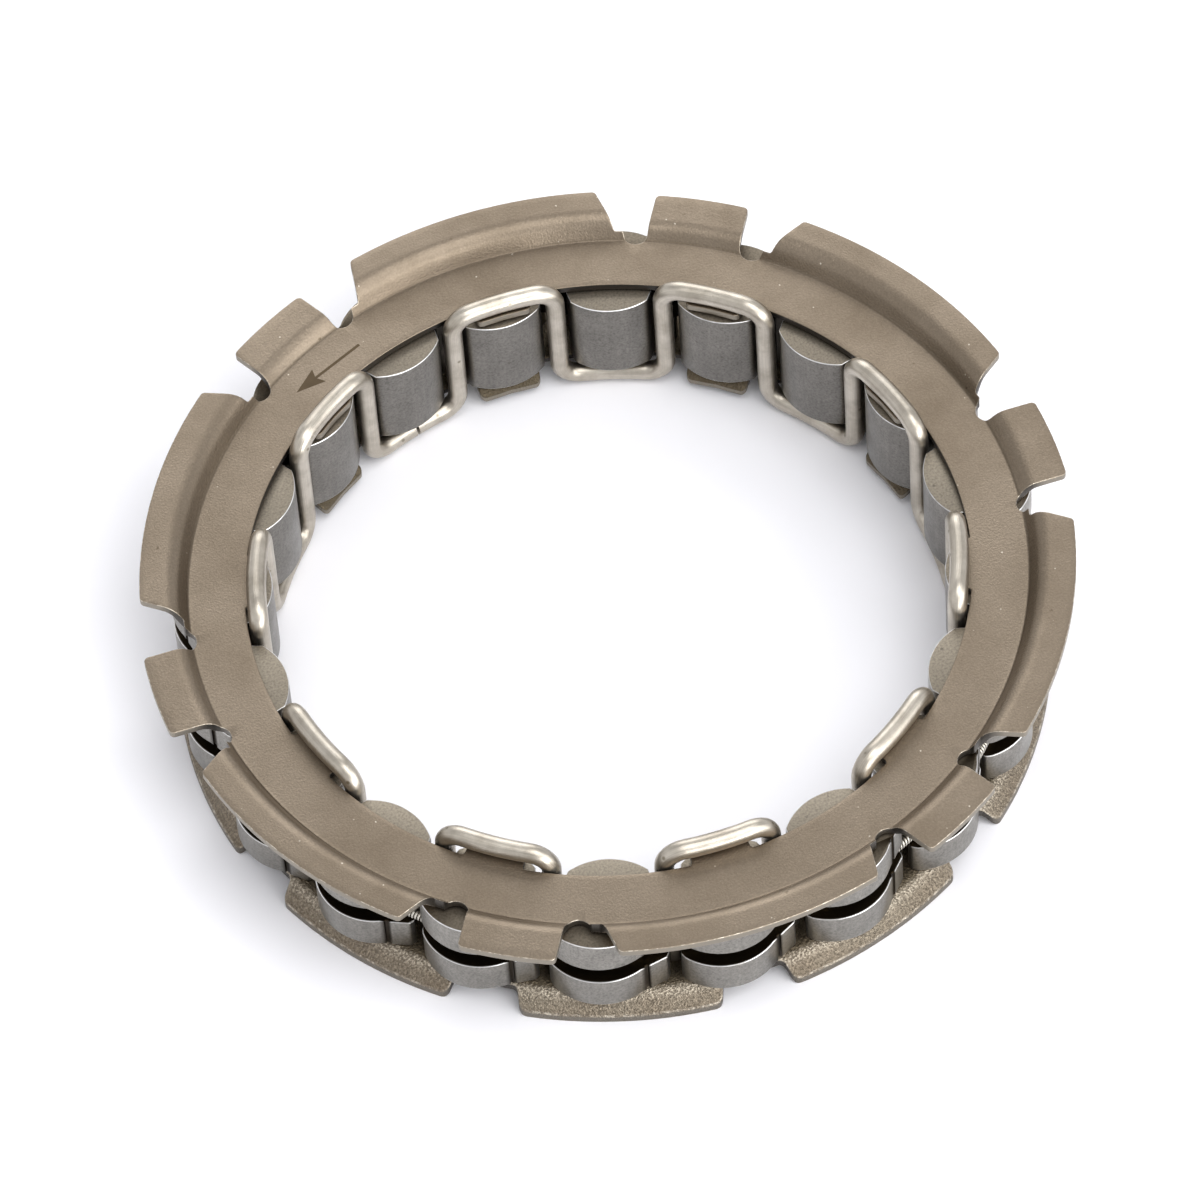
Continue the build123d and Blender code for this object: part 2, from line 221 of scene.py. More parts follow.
def round_corner(before, corner, after, radius):
    """Nine points of the arc that rounds a corner and touches both of its legs."""
    a, b = unit(before - corner), unit(after - corner)
    half = math.acos(np.clip(a @ b, -1, 1)) / 2
    centre = corner + unit(a + b) * radius / math.sin(half)
    start = corner + a * radius / math.tan(half) - centre
    end = corner + b * radius / math.tan(half) - centre
    sweep = math.atan2(start[0] * end[1] - start[1] * end[0], start @ end)
    angles = math.atan2(start[1], start[0]) + np.linspace(0, sweep, 9)
    return centre + radius * np.stack([np.cos(angles), np.sin(angles)], axis=-1)


def rounded_chain(points, radii, step):
    """Open chain of straight legs with rounded corners, and with points about step apart on the legs."""
    parts = [points[:1]]
    for i in range(1, len(points) - 1):
        bend = round_corner(points[i - 1], points[i], points[i + 1], radii[i - 1])
        count = max(1, int(np.linalg.norm(bend[0] - parts[-1][-1]) / step))
        share = np.linspace(0, 1, count, endpoint=False)[1:, None]
        parts += [parts[-1][-1] * (1 - share) + bend[0] * share, bend]
    count = max(1, int(np.linalg.norm(points[-1] - parts[-1][-1]) / step))
    share = np.linspace(0, 1, count + 1)[1:, None]
    parts.append(parts[-1][-1] * (1 - share) + points[-1] * share)
    return np.concatenate(parts)


def repeated(sector, count, start):
    """Closed outline of a sector turned count times about the origin."""
    turns = np.radians(start + 360 * np.arange(count) / count)
    c, s = np.cos(turns)[:, None], np.sin(turns)[:, None]
    x, y = sector[:-1, 0][None], sector[:-1, 1][None]
    return np.stack([c * x - s * y, s * x + c * y], axis=-1).reshape(-1, 2)


def mirrored(half, angle):
    """A half sector and its mirror image in the line at an angle in degrees."""
    c, s = math.cos(math.radians(2 * angle)), math.sin(math.radians(2 * angle))
    other = half @ np.array([[c, s], [s, -c]])
    return np.concatenate([half, other[::-1][1:]])


def put_mesh(name, points, faces, material, body="cage", uv=None, marks=None, smooth_angle=40):
    """Closed mesh piece from points in millimetres, with doubles merged and edges over an angle kept sharp.

    Marks are named values from 0 to 1 at the points, which the finishes read.
    """
    same, tiny = 2e-7, 1e-7
    mesh = bpy.data.meshes.new(name)
    mesh.from_pydata((points * 0.001).tolist(), [], faces.tolist() if hasattr(faces, "tolist") else faces)
    if uv is not None:
        layer = mesh.uv_layers.new(name="UVMap")
        loops = np.zeros(len(mesh.loops), dtype=np.int32)
        mesh.loops.foreach_get("vertex_index", loops)
        layer.data.foreach_set("uv", uv[loops].astype(np.float32).ravel())
    for mark, values in (marks or {}).items():
        mesh.attributes.new(mark, "FLOAT", "POINT").data.foreach_set("value", values.astype(np.float32))
    work = bmesh.new()
    work.from_mesh(mesh)
    bmesh.ops.remove_doubles(work, verts=work.verts, dist=same)
    bmesh.ops.dissolve_degenerate(work, edges=work.edges, dist=tiny)
    bmesh.ops.recalc_face_normals(work, faces=work.faces)
    work.to_mesh(mesh)
    work.free()
    mesh.shade_smooth()
    mesh.set_sharp_from_angle(angle=math.radians(smooth_angle))
    piece = bpy.data.objects.new(name, mesh)
    bpy.context.scene.collection.objects.link(piece)
    mesh.materials.append(material)
    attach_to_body(piece, body)
    return piece


def grid_faces(rows, columns, wrap_rows=False):
    """Quads of a grid whose points are stored row by row, and whose columns close into a ring."""
    r = np.arange(rows if wrap_rows else rows - 1)[:, None]
    c = np.arange(columns)[None]
    r2, c2 = (r + 1) % rows, (c + 1) % columns
    quads = np.stack([r * columns + c, r * columns + c2, r2 * columns + c2, r2 * columns + c], axis=-1)
    return quads.reshape(-1, 4)


# Plates

def joggle(crease, rise, slope, crease_bend, rim_bend, sheet):
    """Heights of a joggled sheet's two faces by radius: flat, an S-bend of two tangent arcs, flat again.

    Both faces are the sheet's corner points, half a sheet to each side of the bends' bisectors, joined by
    arcs whose radii differ by the sheet's thickness.
    """
    before, after = 6, 8
    run = rise / math.tan(math.radians(slope))
    shift = sheet * math.tan(math.radians(slope / 2))
    faces = []
    for start, low, first, second in (
        (crease, sheet, crease_bend, rim_bend + sheet),
        (crease + shift, 0.0, crease_bend + sheet, rim_bend),
    ):
        high, end = low + rise, start + run
        corners = np.array([[crease - before, low], [start, low], [end, high], [end + after, high]])
        faces.append(rounded_chain(corners, [first, second], 0.1))
    return faces


def plate_columns(outer, inner, edge):
    """Columns of a plate: matching points and outward normals on its two outlines at shared angles.

    Each outline is stepped in by the edge rounding, and its angle there rises all the way round, so both
    outlines can be read at the same angles.
    """
    sides = []
    for outline, way in ((outer, 1), (inner, -1)):
        normal = outline_normals(outline, way)
        stepped = outline - edge * normal
        angle = np.unwrap(np.arctan2(stepped[:, 1], stepped[:, 0]))
        angle = np.maximum.accumulate(angle + 1e-7 * np.arange(len(angle)))
        sides.append((angle, outline, normal))
    base = sides[0][0][0]
    columns = np.concatenate([(angle - base) % (2 * np.pi) for angle, _, _ in sides])
    columns = np.unique(np.round(columns, 6)) + base
    result = []
    for angle, outline, normal in sides:
        turns = np.concatenate([angle - 2 * np.pi, angle, angle + 2 * np.pi])
        read = [np.interp(columns, turns, np.tile(a[:, k], 3)) for a in (outline, normal) for k in (0, 1)]
        result.append((np.stack(read[:2], axis=-1), unit(np.stack(read[2:], axis=-1))))
    return columns, result[0], result[1]


def plate_mesh(outer, inner, top, bottom, radii, edge):
    """Closed sheet between two outlines.

    Columns stand at fixed angles and rows at fixed radii, held within the outlines less the edge rounding.
    Three more rows turn each sheared edge over on a quarter circle, and top and bottom give the heights of
    the sheet's two faces at any point. The face that is hidden takes every third row. The third result marks
    the sheared walls between the turned edges, and the turns themselves for wear and a painted highlight.
    """
    columns, (out_point, out_normal), (in_point, in_normal) = plate_columns(outer, inner, edge)
    direction = np.stack([np.cos(columns), np.sin(columns)], axis=-1)
    far = np.linalg.norm(out_point - edge * out_normal, axis=1)
    near = np.linalg.norm(in_point - edge * in_normal, axis=1)
    rows, sheared, rubbed = [], [], []

    def flat(face, order):
        for radius in order:
            place = direction * np.clip(radius, near, far)[:, None]
            rows.append(np.column_stack([place, face(place)]))
            sheared.append(0.0)
            rubbed.append(0.0)

    def turned_edge(point, normal, face, way, order):
        for phi in order:
            place = point - edge * (1 - math.sin(phi)) * normal
            rows.append(np.column_stack([place, face(place) - way * edge * (1 - math.cos(phi))]))
            sheared.append(float(phi == quarter[-1]))
            rubbed.append(math.sin(2 * phi))

    quarter = np.radians([30, 60, 90])
    flat(top, radii)
    turned_edge(out_point, out_normal, top, 1, quarter)
    turned_edge(out_point, out_normal, bottom, -1, quarter[::-1])
    flat(bottom, radii[::-3])
    turned_edge(in_point, in_normal, bottom, -1, quarter)
    turned_edge(in_point, in_normal, top, 1, quarter[::-1])
    marks = {"sheared": np.repeat(sheared, len(columns)), "rubbed": np.repeat(rubbed, len(columns))}
    return np.concatenate(rows), grid_faces(len(rows), len(columns), wrap_rows=True), marks


def tongue_outline(tip, root, half_width):
    """Inner outline of both plates: a circle with ten round-cornered tongues that point at the shaft."""
    half_turn = 180 / TONGUES
    taper, shore_start, shore_end = 0.08, 2, 2.6
    side = math.degrees(math.asin(half_width / root))
    corners = [polar(tip, 0), polar(tip, side - taper), polar(root, side), polar(root, side + shore_start)]
    half = rounded_chain(np.array(corners), [0.5, 0.3], 0.3)
    half = np.concatenate([half, arc(root, side + shore_end, half_turn, 1.0)])
    return repeated(mirrored(half, half_turn), TONGUES, FIRST_ANGLE)


def tongue_height(radius, root, tip, rise):
    """Rise of a tongue above the flat ring, as the square of its reach inward of its heel."""
    heel = root + 0.2
    share = np.clip((heel - radius) / (heel - tip), 0, None)
    return rise * share**2


def row_radii(tip, root, start, end, top):
    """Radii of a plate's rows, close together on the tongues and over the joggle from start to end."""
    return np.concatenate(
        [
            np.linspace(tip, root, 8),
            np.linspace(root + 0.5, start - 0.2, 4),
            np.arange(start, end, 0.1),
            np.linspace(end + 0.1, top + 0.1, 3),
        ]
    )


def upper_outline():
    """Outer outline of the upper plate: six wide lobes, and six tabs that stand between round reliefs."""
    half_turn = 180 / WIDE_LOBES
    tip, half_angle, root = mm("wide_tip"), degrees("wide_half"), degrees("wide_root")
    rim, relief, half_width = mm("upper_rim"), mm("relief"), mm("tab_width") / 2
    c, s = math.cos(math.radians(half_turn)), math.sin(math.radians(half_turn))

    def tab_frame(points):
        return (np.array(points) * [1, -1]) @ np.array([[c, s], [-s, c]])

    # A relief's circle stands beside the tab and runs from the rim between the lobes to the tab's root.
    side = half_width + relief
    centre = np.array([math.sqrt(mm("relief_reach") ** 2 - side**2), side])
    shore_y = side + relief - 0.1
    shore = np.array([math.sqrt(rim**2 - shore_y**2), shore_y])
    start = math.atan2(shore[1] - centre[1], shore[0] - centre[0])
    angles = np.linspace(start, 1.5 * np.pi, 22)[1:]
    notch = centre + relief * np.stack([np.cos(angles), np.sin(angles)], axis=-1)
    tab_corner = np.array([math.sqrt(mm("tab_tip") ** 2 - half_width**2), half_width])
    tab_tip = arc(mm("tab_tip"), math.degrees(math.asin(half_width / mm("tab_tip"))), 0, 0.6)

    tip_arc = arc(tip, 0, half_angle - 1.3, 0.6)
    corners = [
        tip_arc[-1],
        polar(tip, half_angle),
        polar(rim, root),
        tab_frame([shore])[0],
        tab_frame(notch[:1])[0],
    ]
    lobe = rounded_chain(np.array(corners), [mm("upper_corner"), 0.25, 0.15], 0.35)
    tab = rounded_chain(np.array([notch[-1], tab_corner, tab_tip[2]]), [mm("upper_corner")], 0.4)
    parts = [tip_arc[:-1], lobe[:-1], tab_frame(notch), tab_frame(tab)[1:-1], tab_frame(tab_tip[2:])]
    return repeated(mirrored(np.concatenate(parts), half_turn), WIDE_LOBES, FIRST_ANGLE)


def lower_outline():
    """Outer outline of the lower plate: ten equal lobes with slanted sides."""
    half_turn, offset = 180 / LOWER_LOBES, PITCH + 1.0
    tip, half_angle = mm("lower_tip"), degrees("lower_half")
    rim, root = mm("lower_rim"), degrees("lower_root")
    tip_arc = arc(tip, 0, half_angle - 1.6, 0.6)
    corners = [tip_arc[-1], polar(tip, half_angle), polar(rim, root), polar(rim, root + 1.6)]
    chain = rounded_chain(np.array(corners), [0.8, 0.6], 0.3)
    shore = arc(rim, root + 2.0, half_turn, 0.6)
    half = np.concatenate([tip_arc[:-1], chain, shore])
    return repeated(mirrored(half, half_turn), LOWER_LOBES, FIRST_ANGLE + offset)


def upper_plate_surface():
    """Upper plate: the wide lobes follow one joggle and the tabs a lower one."""
    sheet, crease, root, tip = mm("sheet"), mm("upper_crease"), mm("ring_inner"), mm("tongue_tip")
    bends = mm("crease_bend"), mm("rim_bend")
    wide = joggle(crease, mm("wide_rise"), degrees("wide_slope"), *bends, sheet)
    tab = joggle(crease, mm("tab_rise"), degrees("tab_slope"), *bends, sheet)
    border = mm("tab_width") / 2 + mm("relief")
    period = 360 / WIDE_LOBES

    def height(face):
        def at(place):
            radius = np.linalg.norm(place, axis=1)
            angle = np.degrees(np.arctan2(place[:, 1], place[:, 0])) - FIRST_ANGLE
            from_tab = np.radians(angle % period - period / 2)
            in_tab = np.abs(radius * np.sin(from_tab)) < border
            lobe = np.interp(radius, wide[face][:, 0], wide[face][:, 1])
            strip = np.interp(radius, tab[face][:, 0], tab[face][:, 1])
            rise = tongue_height(radius, root, tip, mm("upper_curl"))
            return mm("upper_z") + np.where(in_tab, strip, lobe) + rise

        return at

    radii = row_radii(tip, root, crease - 0.15, crease + 2.2, mm("tab_tip"))
    inner = tongue_outline(tip, root, mm("upper_tongue") / 2)
    return plate_mesh(upper_outline(), inner, height(0), height(1), radii, mm("edge"))


def lower_plate_surface():
    """Lower plate: the same sheet turned over, so that its rim rolls down and its tongues bend down.

    The rim's drop is more than the ring's height, and the floor, at 0, cuts it off.
    """
    sheet, crease, root, tip = mm("sheet"), mm("lower_crease"), mm("ring_inner"), mm("tongue_tip")
    drop = 3 * mm("lower_z")
    rim = joggle(crease, drop, degrees("lower_slope"), mm("roll_bend"), mm("foot_bend"), sheet)

    def height(face):
        def at(place):
            radius = np.linalg.norm(place, axis=1)
            roll = np.interp(radius, rim[face][:, 0], rim[face][:, 1])
            curl = tongue_height(radius, root, tip, mm("lower_curl"))
            return np.maximum(mm("lower_z") + sheet - roll - curl, 0)

        return at

    radii = row_radii(tip, root, crease - 1.0, crease + 2.2, mm("lower_tip"))
    inner = tongue_outline(tip, root, mm("lower_tongue") / 2)
    return plate_mesh(lower_outline(), inner, height(1), height(0), radii, 2 * mm("edge"))


# Sprags

def sprag_outline():
    """Profile of a sprag, with the radius along x: two cam arcs, a waist, a blunt side and a swept tail."""
    tip_in, tip_out, inner_cam = mm("sprag_in"), mm("sprag_out"), mm("inner_cam")
    lead, tail, offset = mm("outer_cam"), mm("tail"), mm("cam_offset")
    foot_half, waist_half = mm("foot_half"), mm("waist_half")
    waist = (tip_in + tip_out) / 2
    outer_x = math.sqrt((tip_out - lead) ** 2 - offset**2)
    foot = math.degrees(math.asin(foot_half / inner_cam))
    inner = np.array([tip_in + inner_cam, 0]) - arc(inner_cam, foot, -foot, 4)
    foot_x, foot_side = inner[-1][0] + 1.1, foot_half + 0.4
    head = waist + 1.6
    outer = np.array([outer_x, -offset]) + arc(lead, 39, -53, 4)
    tail_chain = [
        inner[-1],
        [foot_x, foot_side],
        [waist, waist_half],
        [head - 0.4, tail - 0.4],
        [head - 0.1, tail],
        [outer[0][0] - 1.25, tail - 0.2],
        outer[0],
    ]
    lead_chain = [
        outer[-1],
        [head + 0.2, -lead],
        [head - 0.35, 0.35 - lead],
        [waist, -waist_half],
        [foot_x, -foot_side],
        inner[0],
    ]
    swept = rounded_chain(np.array(tail_chain), [0.45, 1.2, 0.3, 0.2, 0.45], 0.3)
    blunt = rounded_chain(np.array(lead_chain), [0.45, 0.3, 1.2, 0.45], 0.3)
    return np.concatenate([inner[:-1], grooved(swept, mm("groove_side"))[:-1], outer[:-1], blunt[:-1]])


def grooved(chain, middle):
    """Chain with a narrow round-bottomed groove cut into its last straight leg at a given y."""
    start = len(chain) - 1 - int(np.argmax(chain[::-1, 1] > middle + 0.3))
    end = start + 1 + int(np.argmax(chain[start + 1 :, 1] < middle - 0.3))
    a, b = chain[start], chain[end]
    along = unit(b - a)
    down = np.array([-abs(along[1]), -abs(along[0])])
    centre = a + along * (a[1] - middle) / abs(along[1])
    across = np.array([-0.21, -0.2, -0.15, 0, 0.15, 0.2, 0.21])
    depth = np.array([0, 0.09, 0.16, 0.18, 0.16, 0.09, 0])
    groove = centre + across[:, None] * along + depth[:, None] * down
    return np.concatenate([chain[: start + 1], groove, chain[end:]])


def sprag_surface():
    """One sprag on the +X axis: its profile carried up through both bands and in over the spring slot.

    In the slot the profile's x is held below the slot floor's arc. Each edge is turned over on a small
    quarter circle, stepped in along the profile's normal, and those turns are marked for burnishing with a
    painted highlight. A second mark tells the slot's walls and the line groove from the cam faces, for their
    painted shade.
    """
    outline = sprag_outline()
    count = len(outline)
    normal = outline_normals(outline, -1)
    bow, clearance = 9.0, 0.4
    floor_radius = mm("spring_radius") - mm("spring_coil") / 2 - clearance
    reach = np.clip(bow**2 - (outline[:, 1] + mm("cam_offset")) ** 2, 0, None)
    floor = outline.copy()
    floor[:, 0] = np.minimum(outline[:, 0], floor_radius - bow + np.sqrt(reach))
    sunk = np.clip((outline[:, 0] - floor[:, 0]) / 0.4, 0, 1)
    in_groove = np.zeros(count)
    in_groove[groove_points(outline)] = 1.0
    low, high = mm("sprag_bottom"), mm("sprag_bottom") + mm("sprag_length")
    middle, half_slot = (low + high) / 2, mm("slot_height") / 2
    edge, lip = mm("sprag_edge"), mm("slot_lip")
    rows = []
    for phi in np.radians([0, 30, 60, 90]):
        plan = outline - edge * (1 - math.sin(phi)) * normal
        bright = np.full(count, math.sin(2 * phi) * 1.15)
        rows.append((plan, low + edge * (1 - math.cos(phi)), bright, in_groove))
    for phi in np.radians([90, 50, 10]):
        plan = outline - lip * (1 - math.sin(phi)) * normal * sunk[:, None]
        bright = sunk * math.sin(2 * phi)
        rows.append((plan, middle - half_slot - lip * math.sin(phi), bright * 1.1, in_groove))
    ledge = rows[-1][0] + (floor - rows[-1][0]) * 0.03
    rows.append((ledge, middle - half_slot, np.zeros(count), sunk))
    rows.append((floor, middle - half_slot, np.zeros(count), sunk))
    above = [(plan, 2 * middle - height, bright, dark) for plan, height, bright, dark in rows[::-1]]
    layers = rows + above
    points = [np.column_stack([plan, np.full(count, height)]) for plan, height, _, _ in layers]
    faces = grid_faces(len(layers), count).tolist()
    faces.append(list(range(count - 1, -1, -1)))
    faces.append(list(range((len(layers) - 1) * count, len(layers) * count)))
    # Turned edges and slot lips, marked for burnishing and a painted highlight.
    burnished = np.concatenate([np.clip(bright, 0, 1) for _, _, bright, _ in layers])
    # The spring slot and the line groove, marked for painted shade.
    dark = np.concatenate([dark for _, _, _, dark in layers])
    return np.concatenate(points), faces, {"burnished": burnished, "slot_depth": dark}


def groove_points(outline):
    """Indices of the line groove's points, which lie near its middle on the outer side of the tail."""
    reach, outer_side = 0.28, 35
    beside = np.abs(outline[:, 1] - mm("groove_side"))
    return np.flatnonzero((beside < reach) & (outline[:, 0] > outer_side))


def turned_points(points, angle):
    """Points turned about the shaft's axis by an angle in degrees."""
    c, s = math.cos(math.radians(angle)), math.sin(math.radians(angle))
    return points @ np.array([[c, s, 0], [-s, c, 0], [0, 0, 1]])


# Wire and spring

def tube(path, side, radius, count, closed):
    """Round tube along a path, on section axes made from side and its cross product with the tangent."""
    if closed:
        tangent = np.roll(path, -1, axis=0) - np.roll(path, 1, axis=0)
    else:
        tangent = np.gradient(path, axis=0)
    tangent = unit(tangent)
    side = unit(side - np.sum(side * tangent, axis=1, keepdims=True) * tangent)
    other = np.cross(tangent, side)
    phi = 2 * np.pi * np.arange(count) / count
    ring = np.cos(phi)[None, :, None] * side[:, None] + np.sin(phi)[None, :, None] * other[:, None]
    return path[:, None] + radius * ring


def wire_centre_line():
    """Centre line of the wire, open at its butt joint.

    Each run is an arc about the shaft, over or under a sprag. A quarter circle in the plane that touches the
    run's end turns it into the upright leg that it shares with the next run.
    """
    bend = mm("wire_bend")
    leg_radius = mm("ring_inner") - mm("wire_gap") - mm("wire") / 2
    run_radius = math.sqrt(leg_radius**2 - bend**2)
    half = PITCH / 2 - math.degrees(math.atan(bend / run_radius))
    butt = math.degrees(mm("wire_butt") / run_radius)
    path = []

    def run(start, end, height):
        plan = arc(run_radius, start, end, 0.8)
        path.append(np.column_stack([plan, np.full(len(plan), height)]))

    def quarter(angle, way, height, inward, leaving):
        phi = np.radians(np.linspace(0, 90, 9)[1:])
        along = way * np.array([-math.sin(math.radians(angle)), math.cos(math.radians(angle))])
        plan = polar(run_radius, angle) + bend * np.sin(phi)[:, None] * along
        points = np.column_stack([plan, height + inward * bend * (1 - np.cos(phi))])
        path.append(points if leaving else points[::-1])

    for step in range(SPRAG_COUNT + 1):
        middle = FIRST_ANGLE + PITCH * (step + 1)
        over = step % 2 == 1
        height, inward = (mm("wire_top"), -1) if over else (mm("wire_low"), 1)
        first, last = step == 0, step == SPRAG_COUNT
        if not first:
            quarter(middle - half, -1, height, inward, leaving=False)
        run(middle + butt if first else middle - half, middle - butt if last else middle + half, height)
        if not last:
            quarter(middle + half, 1, height, inward, leaving=True)
    path = np.concatenate(path)
    keep = np.linalg.norm(np.diff(path, axis=0), axis=1) > 1e-6
    return path[np.concatenate([[True], keep])]


def stepped_path(path, step):
    """Path read again at even steps of its length, and its length up to each of them."""
    along = np.concatenate([[0], np.cumsum(np.linalg.norm(np.diff(path, axis=0), axis=1))])
    places = np.linspace(0, along[-1], int(along[-1] / step))
    return np.stack([np.interp(places, along, path[:, k]) for k in range(3)], axis=-1), places


def wire_surface():
    """Retainer wire with a domed end at each side of its butt gap, and its length and girth as UV."""
    count, radius = 20, mm("wire") / 2
    path, along = stepped_path(wire_centre_line(), 0.3)
    rings = tube(path, unit(path * [1, 1, 0]), 1.0, count, closed=False) - path[:, None]
    phi = np.radians([35, 65, 89.9])
    domes = []
    for index, forward, bulge in ((0, path[0] - path[1], phi[::-1]), (-1, path[-1] - path[-2], phi)):
        dome = path[index] + rings[index] * (radius * np.cos(bulge))[:, None, None]
        domes.append(dome + unit(forward) * (mm("wire_dome") * np.sin(bulge))[:, None, None])
    rings = np.concatenate([domes[0], path[:, None] + rings * radius, domes[1]])
    along = np.concatenate([np.full(len(phi), along[0]), along, np.full(len(phi), along[-1])])
    points = rings.reshape(-1, 3)
    uv = np.stack(np.broadcast_arrays(along[:, None] / 10, np.arange(count)[None] / count), axis=-1)
    faces = grid_faces(len(rings), count).tolist()
    faces.append(list(range(count)))
    faces.append(list(range(len(points) - count, len(points)))[::-1])
    return points, faces, uv.reshape(-1, 2)


def spring_surface():
    """Garter spring: a helix wound round a circle, with a thin round wire carried along it."""
    per_coil, per_ring = 12, 6
    coils = int(round(2 * np.pi * mm("spring_radius") / mm("spring_pitch")))
    samples = coils * per_coil
    ring = 2 * np.pi * np.arange(samples) / samples
    wind = ring * coils
    outward = np.stack([np.cos(ring), np.sin(ring), np.zeros(samples)], axis=-1)
    up = np.array([0, 0, 1.0])
    lean = np.cos(wind)[:, None] * outward + np.sin(wind)[:, None] * up
    mean = (mm("spring_coil") - mm("spring_wire")) / 2
    middle = mm("sprag_bottom") + mm("sprag_length") / 2
    path = mm("spring_radius") * outward + mean * lean + middle * up
    rings = tube(path, lean, mm("spring_wire") / 2, per_ring, closed=True)
    return rings.reshape(-1, 3), grid_faces(samples, per_ring, wrap_rows=True)


def bar_surface():
    """Bars between the sprags: rounded rectangles, a superellipse in plan, carried from plate to plate.

    Below its shoulders each bar is a thinner tenon, which goes through the lower plate and is tapered at
    its end.
    """
    count, power, half_depth, half_width = 28, 0.35, 0.6, 0.5
    tenon, tip, step_gap, into_plate = 0.78, 0.7, 0.05, 0.2
    phi = 2 * np.pi * np.arange(count) / count
    x, y = np.cos(phi), np.sin(phi)
    plan = np.column_stack(
        [half_depth * np.sign(x) * np.abs(x) ** power, half_width * np.sign(y) * np.abs(y) ** power]
    )
    bottom, low, high = mm("lower_z"), mm("lower_z") + mm("sheet"), mm("upper_z") + into_plate
    waist = (mm("sprag_in") + mm("sprag_out")) / 2
    layers = [
        (tip, bottom - step_gap),
        (tenon, bottom),
        (tenon, low - step_gap),
        (1, low - step_gap),
        (1, high),
    ]
    points = np.concatenate(
        [np.column_stack([plan * share + [waist, 0], np.full(count, height)]) for share, height in layers]
    )
    faces = grid_faces(len(layers), count).tolist()
    faces.append(list(range(count))[::-1])
    faces.append(list(range(len(points) - count, len(points))))
    every, all_faces = [], []
    for step in range(SPRAG_COUNT):
        every.append(turned_points(points, FIRST_ANGLE + PITCH * (step + 0.5)))
        all_faces += [[i + step * len(points) for i in face] for face in faces]
    return np.concatenate(every), all_faces


def arrow_surface(height):
    """Arrow outline laid flat on the ring: a straight thin shaft and a solid head."""
    tail, tip = polar(33.31, 112.8), polar(33.79, 125.4)
    half_shaft, half_head, head, notch, film = 0.13, 0.9, 2.65, 2.3, 0.012
    reach, along = np.linalg.norm(tip - tail), unit(tip - tail)
    across = np.array([-along[1], along[0]])
    plan = np.array(
        [
            [0, half_shaft],
            [0, -half_shaft],
            [reach - notch, -half_shaft],
            [reach - head, -half_head],
            [reach, 0],
            [reach - head, half_head],
            [reach - notch, half_shaft],
        ]
    )
    count = len(plan)
    low = np.column_stack([tail + plan[:, :1] * along + plan[:, 1:] * across, np.full(count, height)])
    top = [[0, 1, 2, 6], [2, 3, 4], [2, 4, 6], [4, 5, 6]]
    faces = [face[::-1] for face in top] + [[i + count for i in face] for face in top]
    faces += [[i, (i + 1) % count, (i + 1) % count + count, i + count] for i in range(count)]
    return np.concatenate([low, low + [0, 0, film]]), faces


# Finishes

def node(tree, kind, settings=None, out=0, stops=(), **inputs):
    """Adds a shader node and returns one of its outputs.

    Settings are the node's own properties, and stops are a ramp's places, each with a grey or a colour.
    Inputs go by name, or by number as in _1, and take a value or another node's output.
    """
    made = tree.nodes.new("ShaderNode" + kind)
    for key, value in (settings or {}).items():
        setattr(made, key, value)
    if stops:
        elements = made.color_ramp.elements
        while len(elements) < len(stops):
            elements.new(0.5)
        for element, (place, shade) in zip(elements, stops):
            element.position = place
            element.color = (*shade, 1) if isinstance(shade, tuple) else (shade, shade, shade, 1)
    for key, value in inputs.items():
        socket = made.inputs[int(key[1:]) if key[0] == "_" else key.replace("_", " ")]
        if isinstance(value, bpy.types.NodeSocket):
            tree.links.new(value, socket)
        else:
            socket.default_value = value
    return made.outputs[out]


def shader(name, metallic, roughness):
    """New material with its Principled shader, ready for a pattern."""
    material = bpy.data.materials.new(name)
    material.use_nodes = True
    surface = material.node_tree.nodes["Principled BSDF"]
    surface.inputs["Metallic"].default_value = metallic
    surface.inputs["Roughness"].default_value = roughness
    return material, material.node_tree, surface


def attach(tree, surface, **sources):
    """Links patterns to a shader's inputs."""
    for key, source in sources.items():
        tree.links.new(source, surface.inputs[key.replace("_", " ")])


def layered(tree, tone, *films):
    """Lays films over a tone, each with its share, its colour and, unless it just covers, its blend type."""
    for share, film, *blend in films:
        settings = {"data_type": "RGBA", "blend_type": blend[0] if blend else "MIX"}
        tone = node(tree, "Mix", settings, 2, _0=share, _6=tone, _7=film)
    return tone


def product(tree, share, *others):
    """Product of shares from 0 to 1."""
    for other in others:
        share = node(tree, "Math", {"operation": "MULTIPLY"}, _0=share, _1=other)
    return share


def radius_share(tree, place, near, far):
    """Share from 0 at one distance from the shaft's axis, in metres, to 1 at another."""
    flat = node(tree, "Mapping", Vector=place, Scale=(1.0, 1.0, 0.0))
    reach = node(tree, "VectorMath", {"operation": "LENGTH"}, "Value", _0=flat)
    return node(tree, "MapRange", Value=reach, From_Min=near, From_Max=far)


def specks(tree, place, noise, scale, ragged, stops):
    """Share of sparse specks: the middles of cells, with an edge that a noise makes ragged."""
    cells = node(tree, "TexVoronoi", Vector=place, Scale=scale)
    edge = node(tree, "Math", {"operation": "MULTIPLY_ADD"}, _0=noise, _1=ragged, _2=cells)
    return node(tree, "ValToRGB", stops=stops, Fac=edge)


